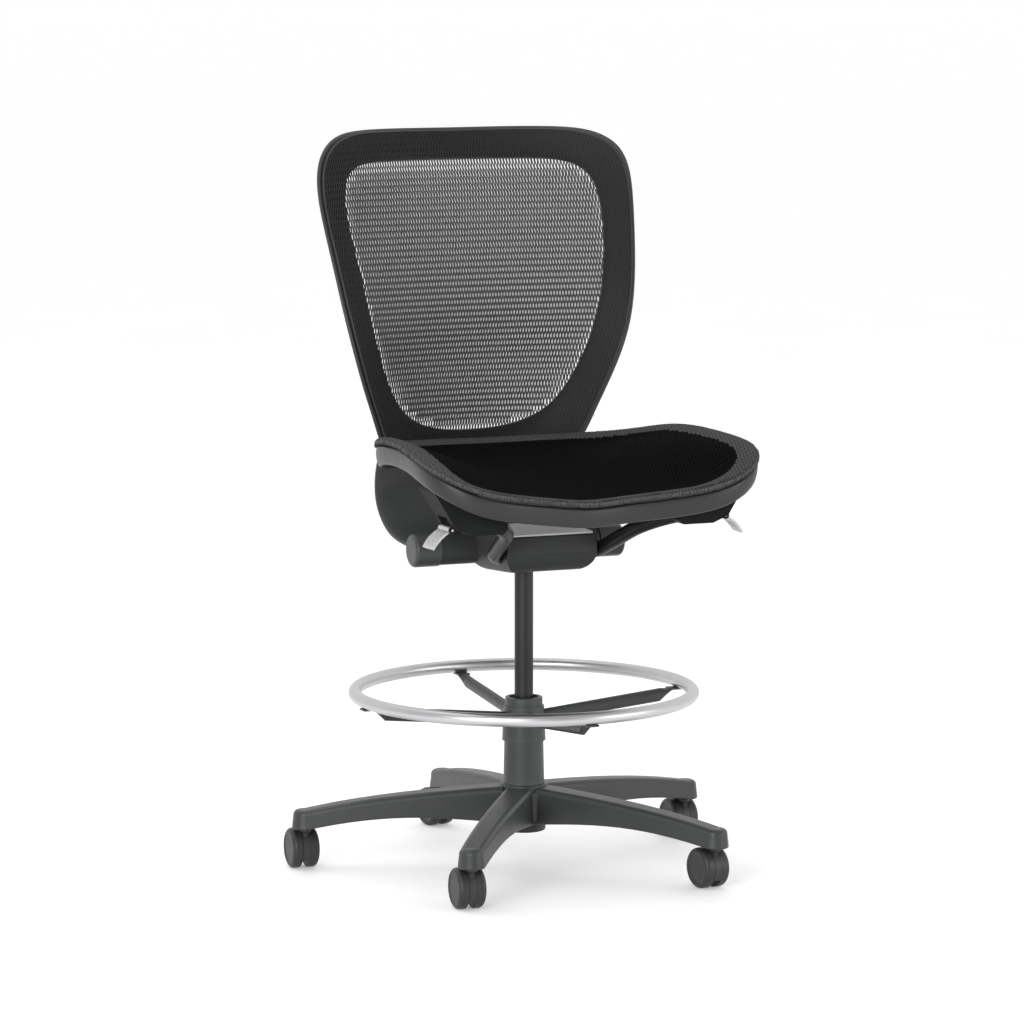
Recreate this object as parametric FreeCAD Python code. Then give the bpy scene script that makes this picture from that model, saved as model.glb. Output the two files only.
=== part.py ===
import FreeCAD, Part
import math
import os

from FreeCAD import Vector

# Drafting chair on a five-arm caster base, in millimetres. +Z is up, the origin is on the column's
# axis at floor level, the sitter faces -Y and the sitter's left hand is on the +X side.

# ---- star base and column ----
ARM_ANGLES = (90, 162, 234, 306, 18)
STEM_CIRCLE_R = 326.6
ARM_END_R = 20.0
ARM_BOTTOM_Z = 62.0
ARM_END_TOP_Z = 91.0
# radius, half width, underside and top of an arm
ARM_STATIONS = ((33, 23.5, 69, 124), (90, 23, 75, 120.5), (170, 22, 79, 114), (250, 21, 74.5, 104.5),
                (STEM_CIRCLE_R, ARM_END_R, ARM_BOTTOM_Z, ARM_END_TOP_Z))
HUB_R = 36.0
HUB_FOOT_R = 32.5
HUB_FOOT_Z = 55.5
HUB_WEB_R = 43.0
HUB_TOP_Z = 127.0
ARM_FILLET = 8.0
GAS_TUBE_R = 25.0
GAS_TUBE_BORE_R = 22.2
GAS_TUBE_BOTTOM_Z = 57.0
GAS_TUBE_TOP_Z = 244.0
SLEEVE_BOTTOM_R = 30.6
SLEEVE_TOP_R = 27.8
SLEEVE_TOP_Z = 257.0
SLEEVE_MOUTH_R = 22.4
SLEEVE_BORE_R = 25.3
PISTON_R = 14.0
PISTON_BORE_R = 11.5
PISTON_BOTTOM_Z = 210.0
GUIDE_BUSH_BOTTOM_Z = 212.0
ROD_R = 5.0
FLOOR_PLATE_TOP_Z = 61.0

# ---- foot ring ----
RING_R = 251.7
RING_TUBE_R = 9.5
RING_Z = 264.4
RING_HUB_BOTTOM_Z = 192.0
RING_HUB_TOP_Z = 244.0
RING_HUB_BOTTOM_R = 32.5
RING_HUB_TOP_R = 30.1
SPOKE_WIDTH = 13.0
SPOKE_HEIGHT = 20.0
TAB_WIDTH = 19.0
TAB_THICKNESS = 2.6

# ---- casters ----
CASTER_SWIVELS = {90: 11.0, 162: -3.0, 234: -3.0, 306: 8.0, 18: 4.0}
WHEEL_R = 30.0
WHEEL_INNER_X = 5.9
WHEEL_OUTER_X = 20.8
WHEEL_SHOULDER_R = 6.5
CASTER_TRAIL = 19.0
HOOD_R = 29.6
HOOD_HALF_WIDTH = 5.5
HOOD_FLOOR_GAP = 13.0
NECK_R = 8.5
# radius and height of the neck, from its shoulder down to the point of its V
NECK_TAPER = ((8.5, 58.2), (5.7, 54.2), (2.0, 40.0))
STEM_R = 5.5
STEM_PIN_R = 3.5
STEM_PIN_BOTTOM_Z = 44.0
STEM_SHOULDER_Z = 56.5
AXLE_R = 3.0
RUN_CLEARANCE = 0.05

# ---- mechanism and back pivot ----
HOUSING_HALF_WIDTH = 72.0
HOUSING_FRONT_Y = -108.0
HOUSING_FRONT_BOTTOM_Z = 456.0
HOUSING_REAR_BOTTOM_Z = 446.0
HOUSING_TOP_Z = 512.0
HOUSING_BELLY_R = 30.0
HOUSING_EDGE_R = 2.0
PLATE_THICKNESS = 3.0
PIVOT_Y = 29.5
PIVOT_Z = 481.0
CROSS_TUBE_R = 23.6
CROSS_TUBE_HALF = 127.3
KNUCKLE_R = 25.0
KNUCKLE_INNER_X = 128.0
KNUCKLE_OUTER_X = 168.5
KNUCKLE_END_FILLET = 6.0
PIVOT_SHAFT_R = 8.0

# ---- scoop of the back support: half width, depth, height up its side edge, then up its middle ----
SCOOP_EDGE = ((163, 62, 484.5), (169, 86, 489), (173, 112, 498), (175, 135, 513), (177, 151, 535),
              (177, 158.5, 560), (175, 159.5, 584), (172, 158, 604))
SCOOP_CENTRE = ((0, 62, 484.5), (0, 94, 486), (0, 134, 493), (0, 167, 508), (0, 192, 531), (0, 209, 557),
                (0, 216.5, 583), (0, 220.5, 604))
SCOOP_THICKNESS = 9.0

# ---- backrest: height, then half width of the outer edge and of the open mesh area ----
BACK_OUTLINE = ((0, 1090), (60, 1090.5), (120, 1091), (172, 1090), (212, 1083.5), (240, 1064), (252, 1034),
                (254, 1000), (249.5, 945), (241.5, 880), (230.5, 815), (214.5, 757), (194.5, 702), (178, 662),
                (168, 632), (162.5, 614), (144, 606.5), (100, 605.5), (50, 605.5), (0, 605.5))
OPENING_OUTLINE = ((0, 1042), (45, 1042), (90, 1042), (133, 1041.5), (167, 1038), (191, 1026), (204, 1005),
                   (207.5, 977), (206, 942), (201, 903), (194, 860), (183.5, 810), (169, 760), (151, 716),
                   (128, 679), (98, 654), (62, 640), (30, 635), (0, 634))
# depth of the backrest's centre line at a few heights, and how strongly it curves round the sitter
BACK_SPINE = ((600, 221), (655, 224), (710, 225), (765, 215), (820, 203), (870, 205), (920, 223),
              (975, 249), (1030, 276), (1095, 295))
BACK_WRAP = ((600, 0.00242), (700, 0.00234), (760, 0.00196), (815, 0.00148), (870, 0.0012),
             (920, 0.00118), (975, 0.00123), (1030, 0.0014), (1060, 0.00155), (1095, 0.0017))
BACK_FRAME_FRONT = -5.0
BACK_FRAME_REAR = 6.5
BACK_CARRIER_DEPTH = 5.0
BACK_CARRIER_GAP = 0.2
BACK_EDGE_SHARE = 0.07
BACK_MESH_THICKNESS = 1.6
BACK_MESH_TENSION = 26.0

# ---- seat rim: half width, depth and height of the band's top edge, front centre to rear centre ----
SEAT_RIM = ((0, -306, 575), (110, -311, 584), (212, -310, 606), (249, -281, 627), (252, -182, 645),
            (240, -78, 648), (231, -5, 642), (207, 66, 629), (161, 138, 618), (80, 162, 615), (0, 165, 614))
# poles of the band's and the crown's sections: inward from the rim line, then up
SEAT_BAND_SECTION = ((-1.5, 2), (-2.2, -4), (-1.8, -12), (0, -21), (2.5, -26), (9, -27), (17, -20),
                     (25, -10), (29, -3), (26, 0), (15, 1), (5, 1.2))
SEAT_CROWN_SECTION = ((-3, 2.6), (-5, 6.4), (-3.5, 11), (2, 13.5), (9, 13), (18, 10), (26, 6.5), (28.5, 4),
                      (25, 2.2), (14, 2.6), (5, 2.6))
SEAT_MESH_THICKNESS = 1.6
SEAT_SAG = 34.0

# ---- seat supports ----
SUPPORT_TUBE_R = 11.0
SUPPORT_TUBE_POINTS = ((64, -64, 477), (84, -86, 485), (106, -202, 538), (162, -230, 553))
SUPPORT_TUBE_BENDS = (0.5, 0.62)
BRACKET_PROFILE = ((134, 560), (134, 546), (141, 540), (188, 540), (212, 550), (246, 604), (240, 626),
                   (214, 606), (196, 584), (160, 574), (142, 568))
BRACKET_FRONT_Y = -260.0
BRACKET_REAR_Y = -200.0
PADDLE_ROOT = (215.0, -226.0, 548.0)
PADDLE_TIP = (242.0, 520.5)
PADDLE_TURN = -3.0
PADDLE_HALF_WIDTH = 18.0
PADDLE_RIBS = 7
PADDLE_PIN_R = 2.0
PADDLE_PIN_HALF = 22.0

STATIONS = 56


def write(name, shape):
    shape.exportStep(os.path.join("parts", name + ".step"))


def cylinder(radius, start, end):
    axis = end - start
    return Part.makeCylinder(radius, axis.Length, start, axis)


def up_cylinder(radius, bottom, top):
    return Part.makeCylinder(radius, top - bottom, Vector(0, 0, bottom), Vector(0, 0, 1))


def up_cone(bottom_radius, top_radius, bottom, top):
    return Part.makeCone(bottom_radius, top_radius, top - bottom, Vector(0, 0, bottom), Vector(0, 0, 1))


def face_of(points):
    return Part.Face(Part.makePolygon(points + [points[0]]))


def mirrored(shape):
    return shape.mirror(Vector(0, 0, 0), Vector(1, 0, 0))


def turned(shape, degrees):
    copy = shape.copy()
    copy.rotate(Vector(0, 0, 0), Vector(0, 0, 1), degrees)
    return copy


def smooth(points, closed=False):
    curve = Part.BSplineCurve()
    curve.interpolate(Points=points, PeriodicFlag=closed)
    return curve


def sampled(curve, count, closed):
    first = curve.FirstParameter
    last = curve.LastParameter
    steps = count if closed else count - 1
    return [curve.value(first + (last - first) * i / steps) for i in range(count)]


def graph(pairs, scale):
    """A smooth function of height through a few (height, value) pairs."""
    curve = smooth([Vector(height, value * scale, 0) for height, value in pairs])
    table = sampled(curve, 300, False)

    def value_at(height):
        height = min(max(height, table[0].x), table[-1].x)
        for low, high in zip(table, table[1:]):
            if height <= high.x:
                share = (height - low.x) / (high.x - low.x)
                return (low.y + (high.y - low.y) * share) / scale
        return table[-1].y / scale

    return value_at


def closed_tube(sections):
    """One solid skinned round a closed loop of closed sections."""
    count = len(sections)
    size = len(sections[0])
    surface = Part.BSplineSurface()
    surface.buildFromPolesMultsKnots(sections, [1] * (count + 1), [1] * (size + 1),
                                     list(range(count + 1)), list(range(size + 1)), True, True, 3, 3)
    solid = Part.Solid(Part.Shell([surface.toShape()]))
    if solid.Volume < 0:
        solid.reverse()
    return solid


def whole_loop(half):
    """Mirror the +X half of a symmetric loop, given from one centre point to the other."""
    other = [Vector(-p.x, p.y, p.z) for p in reversed(half[1:-1])]
    return half + other


# ---------------------------------------------------------------- star base
def arm_section(radius, half_width, bottom, top, fillet):
    """Rounded-top section of one arm, standing across +X at the given radius."""
    corner = fillet * (1 - math.sqrt(0.5))
    y0 = half_width
    foot = 2.5
    foot_corner = foot * (1 - math.sqrt(0.5))

    def at(y, z):
        return Vector(radius, y, z)

    edges = [
        Part.LineSegment(at(-y0 + foot, bottom), at(y0 - foot, bottom)),
        Part.Arc(at(y0 - foot, bottom), at(y0 - foot_corner, bottom + foot_corner), at(y0, bottom + foot)),
        Part.LineSegment(at(y0, bottom + foot), at(y0 - 2, top - fillet)),
        Part.Arc(at(y0 - 2, top - fillet), at(y0 - 2 - corner, top - corner), at(y0 - 2 - fillet, top)),
        Part.LineSegment(at(y0 - 2 - fillet, top), at(-y0 + 2 + fillet, top)),
        Part.Arc(at(-y0 + 2 + fillet, top), at(-y0 + 2 + corner, top - corner), at(-y0 + 2, top - fillet)),
        Part.LineSegment(at(-y0 + 2, top - fillet), at(-y0, bottom + foot)),
        Part.Arc(at(-y0, bottom + foot), at(-y0 + foot_corner, bottom + foot_corner),
                 at(-y0 + foot, bottom)),
    ]
    return Part.Wire([edge.toShape() for edge in edges])


def arm_cap(radius, bottom, top, fillet):
    """Round end of an arm: the arm's own outer profile turned about the caster stem."""
    corner = fillet * (1 - math.sqrt(0.5))
    foot = 2.5
    foot_corner = foot * (1 - math.sqrt(0.5))

    def at(out, z):
        return Vector(STEM_CIRCLE_R + out, 0, z)

    edges = [
        Part.LineSegment(at(0, bottom), at(radius - foot, bottom)),
        Part.Arc(at(radius - foot, bottom), at(radius - foot_corner, bottom + foot_corner),
                 at(radius, bottom + foot)),
        Part.LineSegment(at(radius, bottom + foot), at(radius - 2, top - fillet)),
        Part.Arc(at(radius - 2, top - fillet), at(radius - 2 - corner, top - corner),
                 at(radius - 2 - fillet, top)),
        Part.LineSegment(at(radius - 2 - fillet, top), at(0, top)),
        Part.LineSegment(at(0, top), at(0, bottom)),
    ]
    face = Part.Face(Part.Wire([edge.toShape() for edge in edges]))
    cap = face.revolve(Vector(STEM_CIRCLE_R, 0, 0), Vector(0, 0, 1), 360)
    if cap.Volume < 0:
        cap.reverse()
    return cap


def arm_along_x():
    wires = [arm_section(radius, half, bottom, top, ARM_FILLET) for radius, half, bottom, top in ARM_STATIONS]
    body = Part.makeLoft(wires, True, False)
    cap = arm_cap(ARM_END_R, ARM_BOTTOM_Z, ARM_END_TOP_Z, ARM_FILLET)
    arm = body.fuse(cap)
    socket = Part.makeCylinder(STEM_R + RUN_CLEARANCE, 22.5, Vector(STEM_CIRCLE_R, 0, ARM_BOTTOM_Z - 0.5))
    return arm.cut(socket)


def star_base():
    hub = up_cylinder(HUB_R, 74, HUB_TOP_Z)
    hub = hub.makeFillet(3.0, [e for e in hub.Edges if e.BoundBox.ZMin > HUB_TOP_Z - 1])
    foot = up_cylinder(HUB_FOOT_R, HUB_FOOT_Z, 76)
    foot = foot.makeFillet(3.0, [e for e in foot.Edges if e.BoundBox.ZMax < HUB_FOOT_Z + 1])
    web = up_cylinder(HUB_WEB_R, 72, 118)
    web = web.makeFillet(4.0, [e for e in web.Edges if e.BoundBox.ZLength < 1])
    arm = arm_along_x()
    body = hub.fuse([foot, web] + [turned(arm, angle) for angle in ARM_ANGLES])
    bore = up_cylinder(GAS_TUBE_R, HUB_FOOT_Z - 1, HUB_TOP_Z + 1)
    return body.cut(bore)


def column_sleeve():
    outer = up_cone(SLEEVE_BOTTOM_R, SLEEVE_TOP_R, HUB_TOP_Z, SLEEVE_TOP_Z)
    outer = outer.makeFillet(1.5, [e for e in outer.Edges if e.BoundBox.ZMin > SLEEVE_TOP_Z - 1])
    bore = up_cylinder(SLEEVE_BORE_R, HUB_TOP_Z - 1, GAS_TUBE_TOP_Z + 0.5)
    mouth = up_cylinder(SLEEVE_MOUTH_R, GAS_TUBE_TOP_Z, SLEEVE_TOP_Z + 1)
    return outer.cut(bore).cut(mouth)


def gas_outer_tube():
    tube = up_cylinder(GAS_TUBE_R, GAS_TUBE_BOTTOM_Z, GAS_TUBE_TOP_Z)
    bore = up_cylinder(GAS_TUBE_BORE_R, FLOOR_PLATE_TOP_Z, GAS_TUBE_TOP_Z + 1)
    return tube.cut(bore)


def gas_guide_bush():
    bush = up_cylinder(GAS_TUBE_BORE_R, GUIDE_BUSH_BOTTOM_Z, GAS_TUBE_TOP_Z)
    return bush.cut(up_cylinder(PISTON_R + RUN_CLEARANCE, GUIDE_BUSH_BOTTOM_Z - 1, GAS_TUBE_TOP_Z + 1))


def gas_thrust_bearing():
    washer = up_cylinder(12.0, FLOOR_PLATE_TOP_Z, FLOOR_PLATE_TOP_Z + 3.5)
    return washer.cut(up_cylinder(ROD_R + RUN_CLEARANCE, FLOOR_PLATE_TOP_Z - 1, FLOOR_PLATE_TOP_Z + 5))


def gas_rod():
    """Inner rod: turns on the bearing at its foot and carries the piston head inside the tube."""
    rod = up_cylinder(ROD_R, FLOOR_PLATE_TOP_Z + 0.2, PISTON_BOTTOM_Z + 14)
    collar = up_cylinder(9.0, FLOOR_PLATE_TOP_Z + 3.6, FLOOR_PLATE_TOP_Z + 6.5)
    head = up_cylinder(PISTON_BORE_R - RUN_CLEARANCE, PISTON_BOTTOM_Z + 14, PISTON_BOTTOM_Z + 24)
    return rod.fuse([collar, head])


def gas_piston():
    tube = up_cylinder(PISTON_R, PISTON_BOTTOM_Z, HOUSING_TOP_Z - 12)
    chamber = up_cylinder(PISTON_BORE_R, PISTON_BOTTOM_Z + 13, HOUSING_REAR_BOTTOM_Z + 30)
    guide = up_cylinder(ROD_R + RUN_CLEARANCE, PISTON_BOTTOM_Z - 1, PISTON_BOTTOM_Z + 20)
    return tube.cut(chamber).cut(guide)


# ---------------------------------------------------------------- foot ring
def sleeve_radius_at(z):
    share = (z - HUB_TOP_Z) / (SLEEVE_TOP_Z - HUB_TOP_Z)
    return SLEEVE_BOTTOM_R + (SLEEVE_TOP_R - SLEEVE_BOTTOM_R) * share


def foot_ring_hub():
    low = RING_HUB_BOTTOM_Z
    high = RING_HUB_TOP_Z
    outer = up_cone(RING_HUB_BOTTOM_R, RING_HUB_TOP_R, low, high)
    inner = up_cone(sleeve_radius_at(low - 2) + 0.05, sleeve_radius_at(high + 2) + 0.05, low - 2, high + 2)
    return outer.cut(inner)


def ellipse_wire(radius, z, width, height):
    centre = Vector(radius, 0, z)
    major, minor = max(width, height) / 2, min(width, height) / 2
    across = Vector(0, 1, 0) if width >= height else Vector(0, 0, 1)
    other = Vector(0, 0, 1) if width >= height else Vector(0, -1, 0)
    ellipse = Part.Ellipse(centre + across * major, centre + other * minor, centre)
    return Part.Wire(ellipse.toShape())


def spoke_along_x():
    tab_z = RING_Z - RING_TUBE_R - TAB_THICKNESS / 2 - 0.1
    round_part = Part.makeLoft([ellipse_wire(24, RING_Z - 39, SPOKE_WIDTH, SPOKE_HEIGHT),
                                ellipse_wire(222, RING_Z - 19.5, SPOKE_WIDTH, SPOKE_HEIGHT)], True, True)
    crushed = Part.makeLoft([ellipse_wire(222, RING_Z - 19.5, SPOKE_WIDTH, SPOKE_HEIGHT),
                             ellipse_wire(238, tab_z - 1.5, TAB_WIDTH - 0.1, TAB_THICKNESS + 1)], True, True)
    tab = Part.makeBox(22, TAB_WIDTH, TAB_THICKNESS, Vector(236, -TAB_WIDTH / 2, tab_z - TAB_THICKNESS / 2))
    spoke = round_part.fuse([crushed, tab])
    hub_space = up_cone(RING_HUB_BOTTOM_R, RING_HUB_TOP_R, RING_HUB_BOTTOM_Z, RING_HUB_TOP_Z)
    return spoke.cut(hub_space)


# ---------------------------------------------------------------- casters
def caster_place(shape, angle):
    placed = turned(shape, CASTER_SWIVELS[angle])
    around = math.radians(angle)
    placed.translate(Vector(math.cos(around), math.sin(around), 0) * STEM_CIRCLE_R)
    return placed


def caster_hood():
    centre = Vector(-HOOD_HALF_WIDTH, CASTER_TRAIL, WHEEL_R)
    disc = Part.makeCylinder(HOOD_R, 2 * HOOD_HALF_WIDTH, centre, Vector(1, 0, 0))
    disc = disc.cut(Part.makeBox(60, 90, HOOD_FLOOR_GAP + 10, Vector(-30, -30, -10)))
    collar = up_cylinder(NECK_R, NECK_TAPER[0][1], ARM_BOTTOM_Z - 0.4)
    taper = [up_cone(low[0], high[0], low[1], high[1]) for high, low in zip(NECK_TAPER, NECK_TAPER[1:])]
    hood = disc.fuse([collar] + taper)
    hood = hood.cut(up_cylinder(STEM_PIN_R, STEM_PIN_BOTTOM_Z, STEM_SHOULDER_Z))
    hood = hood.cut(up_cylinder(STEM_R, STEM_SHOULDER_Z, ARM_BOTTOM_Z))
    axle_hole = Part.makeCylinder(AXLE_R, 40, Vector(-20, CASTER_TRAIL, WHEEL_R), Vector(1, 0, 0))
    return hood.cut(axle_hole).removeSplitter()


def caster_stem():
    """Swivel stem with a thinner tail let into the hood."""
    tail = up_cylinder(STEM_PIN_R, STEM_PIN_BOTTOM_Z, STEM_SHOULDER_Z)
    return up_cylinder(STEM_R, STEM_SHOULDER_Z, ARM_BOTTOM_Z + 21).fuse(tail)


def caster_axle():
    half = WHEEL_OUTER_X - 4.3
    return cylinder(AXLE_R, Vector(-half, CASTER_TRAIL, WHEEL_R), Vector(half, CASTER_TRAIL, WHEEL_R))


def caster_wheel(side):
    """One wheel: rounded shoulders, slightly dished outer face, blind bore for the axle."""
    near, far = WHEEL_INNER_X, WHEEL_OUTER_X

    def at(x, radius):
        return Vector(x, 0, radius)

    bore = AXLE_R + RUN_CLEARANCE
    shoulder_inset = WHEEL_SHOULDER_R * (1 - math.sqrt(0.5))
    edges = [
        Part.LineSegment(at(near, bore), at(near, WHEEL_R - 0.6)),
        Part.LineSegment(at(near, WHEEL_R - 0.6), at(near + 0.6, WHEEL_R)),
        Part.LineSegment(at(near + 0.6, WHEEL_R), at(far - WHEEL_SHOULDER_R, WHEEL_R)),
        Part.Arc(at(far - WHEEL_SHOULDER_R, WHEEL_R), at(far - shoulder_inset, WHEEL_R - shoulder_inset),
                 at(far, WHEEL_R - WHEEL_SHOULDER_R)),
        Part.LineSegment(at(far, WHEEL_R - WHEEL_SHOULDER_R), at(far - 1.2, WHEEL_R - WHEEL_SHOULDER_R - 3)),
        Part.LineSegment(at(far - 1.2, WHEEL_R - WHEEL_SHOULDER_R - 3), at(far - 1.2, 0)),
        Part.LineSegment(at(far - 1.2, 0), at(far - 3.8, 0)),
        Part.LineSegment(at(far - 3.8, 0), at(far - 3.8, bore)),
        Part.LineSegment(at(far - 3.8, bore), at(near, bore)),
    ]
    face = Part.Face(Part.Wire([edge.toShape() for edge in edges]))
    wheel = face.revolve(Vector(0, 0, 0), Vector(1, 0, 0), 360)
    if wheel.Volume < 0:
        wheel.reverse()
    wheel.translate(Vector(0, CASTER_TRAIL, WHEEL_R))
    if side < 0:
        wheel.rotate(Vector(0, CASTER_TRAIL, 0), Vector(0, 0, 1), 180)
    return wheel


# ---------------------------------------------------------------- mechanism
def belly_profile(low, high, low_bottom, high_bottom, turn):
    """Wire with two round lower corners; turn places its (across, up) pairs in space."""
    belly = HOUSING_BELLY_R
    inset = belly * (1 - math.sqrt(0.5))
    top = HOUSING_TOP_Z
    edges = [
        Part.LineSegment(turn(low, top), turn(low, low_bottom + belly)),
        Part.Arc(turn(low, low_bottom + belly), turn(low + inset, low_bottom + inset),
                 turn(low + belly, low_bottom)),
        Part.LineSegment(turn(low + belly, low_bottom), turn(high - belly, high_bottom)),
        Part.Arc(turn(high - belly, high_bottom), turn(high - inset, high_bottom + inset),
                 turn(high, high_bottom + belly)),
        Part.LineSegment(turn(high, high_bottom + belly), turn(high, top)),
        Part.LineSegment(turn(high, top), turn(low, top)),
    ]
    return Part.Wire([edge.toShape() for edge in edges])


def mechanism_box():
    """Rounded box whose underside drops towards the rear."""
    front, rear = HOUSING_FRONT_Y, PIVOT_Y + 12
    low, high = HOUSING_REAR_BOTTOM_Z, HOUSING_FRONT_BOTTOM_Z
    half = HOUSING_HALF_WIDTH
    sections = [belly_profile(-half, half, high, high, lambda a, z: Vector(a, front, z)),
                belly_profile(-half, half, low, low, lambda a, z: Vector(a, rear, z))]
    across = Part.makeLoft(sections, True, True)
    along = Part.Face(belly_profile(front, rear, high, low, lambda a, z: Vector(-half, a, z)))
    box = across.common(along.extrude(Vector(2 * half, 0, 0)))
    top_edges = [e for e in box.Edges if e.BoundBox.ZMin > HOUSING_TOP_Z - 1 and e.BoundBox.YMax < rear + 1]
    top_edges = [e for e in top_edges if e.BoundBox.YMin < rear - 1]
    uprights = [e for e in box.Edges if e.BoundBox.YMax < front + 1 and e.BoundBox.ZLength > 20]
    uprights = [e for e in uprights if e.BoundBox.XLength < 1]
    return box.makeFillet(HOUSING_EDGE_R, top_edges + uprights)


def mechanism_housing():
    box = mechanism_box()
    tube_end = Vector(CROSS_TUBE_HALF, PIVOT_Y, PIVOT_Z)
    tube = cylinder(CROSS_TUBE_R, Vector(-CROSS_TUBE_HALF, PIVOT_Y, PIVOT_Z), tube_end)
    body = box.fuse(tube)
    shaft = cylinder(PIVOT_SHAFT_R, Vector(-200, PIVOT_Y, PIVOT_Z), Vector(200, PIVOT_Y, PIVOT_Z))
    socket = up_cylinder(PISTON_R, HOUSING_REAR_BOTTOM_Z - 5, HOUSING_TOP_Z - 12)
    return body.cut(shaft).cut(socket).removeSplitter()


def mechanism_plate():
    width = 2 * HOUSING_HALF_WIDTH - 9
    plate = Part.makeBox(width, 122, PLATE_THICKNESS, Vector(-width / 2, HOUSING_FRONT_Y + 4, HOUSING_TOP_Z))
    corners = [e for e in plate.Edges if e.BoundBox.ZLength > PLATE_THICKNESS - 0.1]
    plate = plate.makeFillet(5.0, corners)
    rim = [e for e in plate.Edges if e.BoundBox.ZMin > HOUSING_TOP_Z + PLATE_THICKNESS - 0.1]
    return plate.makeFillet(1.2, rim)


def pivot_shaft():
    half = KNUCKLE_OUTER_X - 8
    return cylinder(PIVOT_SHAFT_R, Vector(-half, PIVOT_Y, PIVOT_Z), Vector(half, PIVOT_Y, PIVOT_Z))


# ---------------------------------------------------------------- back support
def scoop_middle(along, across):
    """Point on the middle surface of the scoop: along runs up it, across runs -1 to 1."""
    edge = along_curve(SCOOP_EDGE, along)
    centre = along_curve(SCOOP_CENTRE, along)
    bow = 1 - across * across
    return Vector(across * edge.x, edge.y + (centre.y - edge.y) * bow, edge.z + (centre.z - edge.z) * bow)


def along_curve(points, share):
    curve = smooth([Vector(*p) for p in points])
    first = curve.FirstParameter
    return curve.value(first + (curve.LastParameter - first) * share)


def scoop_normal(along, across):
    step = 0.01
    up = scoop_middle(min(along + step, 1), across) - scoop_middle(max(along - step, 0), across)
    side = scoop_middle(along, min(across + step, 1)) - scoop_middle(along, max(across - step, -1))
    return side.cross(up).normalize()


def scoop():
    """Curved shell of even thickness with rounded side edges and flat ends."""
    rows = 22
    columns = 11
    half = SCOOP_THICKNESS / 2
    sections = []
    for r in range(rows):
        along = r / (rows - 1)
        front = []
        rear = []
        for c in range(columns):
            across = -1 + 2 * c / (columns - 1)
            middle = scoop_middle(along, across)
            normal = scoop_normal(along, across)
            if r == 0:
                normal = Vector(0, 0.1, -1).normalize()
            if r == rows - 1:
                normal = Vector(0, 1, 0)
                middle.z = SCOOP_EDGE[-1][2]
            if normal.y < 0:
                normal = normal * -1
            front.append(middle - normal * half)
            rear.append(middle + normal * half)
        sections.append(front + list(reversed(rear)))
    size = len(sections[0])
    surface = Part.BSplineSurface()
    surface.buildFromPolesMultsKnots(sections, [4] + [1] * (rows - 4) + [4], [1] * (size + 1),
                                     list(range(rows - 2)), list(range(size + 1)), False, True, 3, 3)
    side = surface.toShape()
    ends = [surface.uIso(u) for u in surface.bounds()[:2]]
    caps = [Part.Face(Part.Wire(end.toShape())) for end in ends]
    shell = Part.makeCompound([side] + caps)
    shell.sewShape()
    solid = Part.Solid(shell.Shells[0])
    if solid.Volume < 0:
        solid.reverse()
    return solid


def back_support():
    parts = []
    for side in (-1, 1):
        knuckle = cylinder(KNUCKLE_R, Vector(side * KNUCKLE_INNER_X, PIVOT_Y, PIVOT_Z),
                           Vector(side * KNUCKLE_OUTER_X, PIVOT_Y, PIVOT_Z))
        rims = [e for e in knuckle.Edges if e.BoundBox.XLength < 0.1 and abs(e.BoundBox.Center.x) > 150]
        knuckle = knuckle.makeFillet(KNUCKLE_END_FILLET, rims)
        web = Part.makeBox(28, 30, 12, Vector(min(side * 130, side * 158), PIVOT_Y + 12, 478.5))
        parts += [knuckle, web]
    body = scoop().fuse(parts)
    bore = cylinder(PIVOT_SHAFT_R + RUN_CLEARANCE, Vector(-KNUCKLE_OUTER_X + 7.9, PIVOT_Y, PIVOT_Z),
                    Vector(KNUCKLE_OUTER_X - 7.9, PIVOT_Y, PIVOT_Z))
    return body.cut(bore)


# ---------------------------------------------------------------- backrest
spine_at = graph(BACK_SPINE, 1)
wrap_at = graph(BACK_WRAP, 10000)


def back_depth(x, z):
    return spine_at(z) - wrap_at(z) * x * x


def back_normal(x, z):
    step = 2.0
    slope_x = (back_depth(x + step, z) - back_depth(x - step, z)) / (2 * step)
    slope_z = (back_depth(x, z + step) - back_depth(x, z - step)) / (2 * step)
    return Vector(-slope_x, 1, -slope_z).normalize()


def outline_loop(half_outline):
    loop = whole_loop([Vector(w, 0, z) for w, z in half_outline])
    return smooth(loop, True)


def matched_loops():
    """Points round the outer edge, each with its nearest point on the opening's edge."""
    outer = sampled(outline_loop(BACK_OUTLINE), STATIONS, True)
    fine = sampled(outline_loop(OPENING_OUTLINE), 400, True)
    inner = [min(fine, key=lambda q: (q - point).Length) for point in outer]
    return outer, inner


def back_ring(inner_share, outer_share, front, rear):
    """Ring between two shares of the way from the outer edge to the opening, at two depths."""
    outer, inner = matched_loops()
    sections = []
    edge = (rear - front) * 0.25
    middle = 0.5 * (inner_share + outer_share)
    near = outer_share + BACK_EDGE_SHARE
    far = inner_share - BACK_EDGE_SHARE
    corners = ((outer_share, rear - edge), (outer_share, front + edge), (near, front), (middle, front),
               (far, front), (inner_share, front + edge), (inner_share, rear - edge), (far, rear),
               (middle, rear), (near, rear))
    for o, i in zip(outer, inner):
        section = []
        for share, depth in corners:
            x = o.x + (i.x - o.x) * share
            z = o.z + (i.z - o.z) * share
            section.append(Vector(x, back_depth(x, z), z) + back_normal(x, z) * depth)
        sections.append(section)
    return closed_tube(sections)


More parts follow.
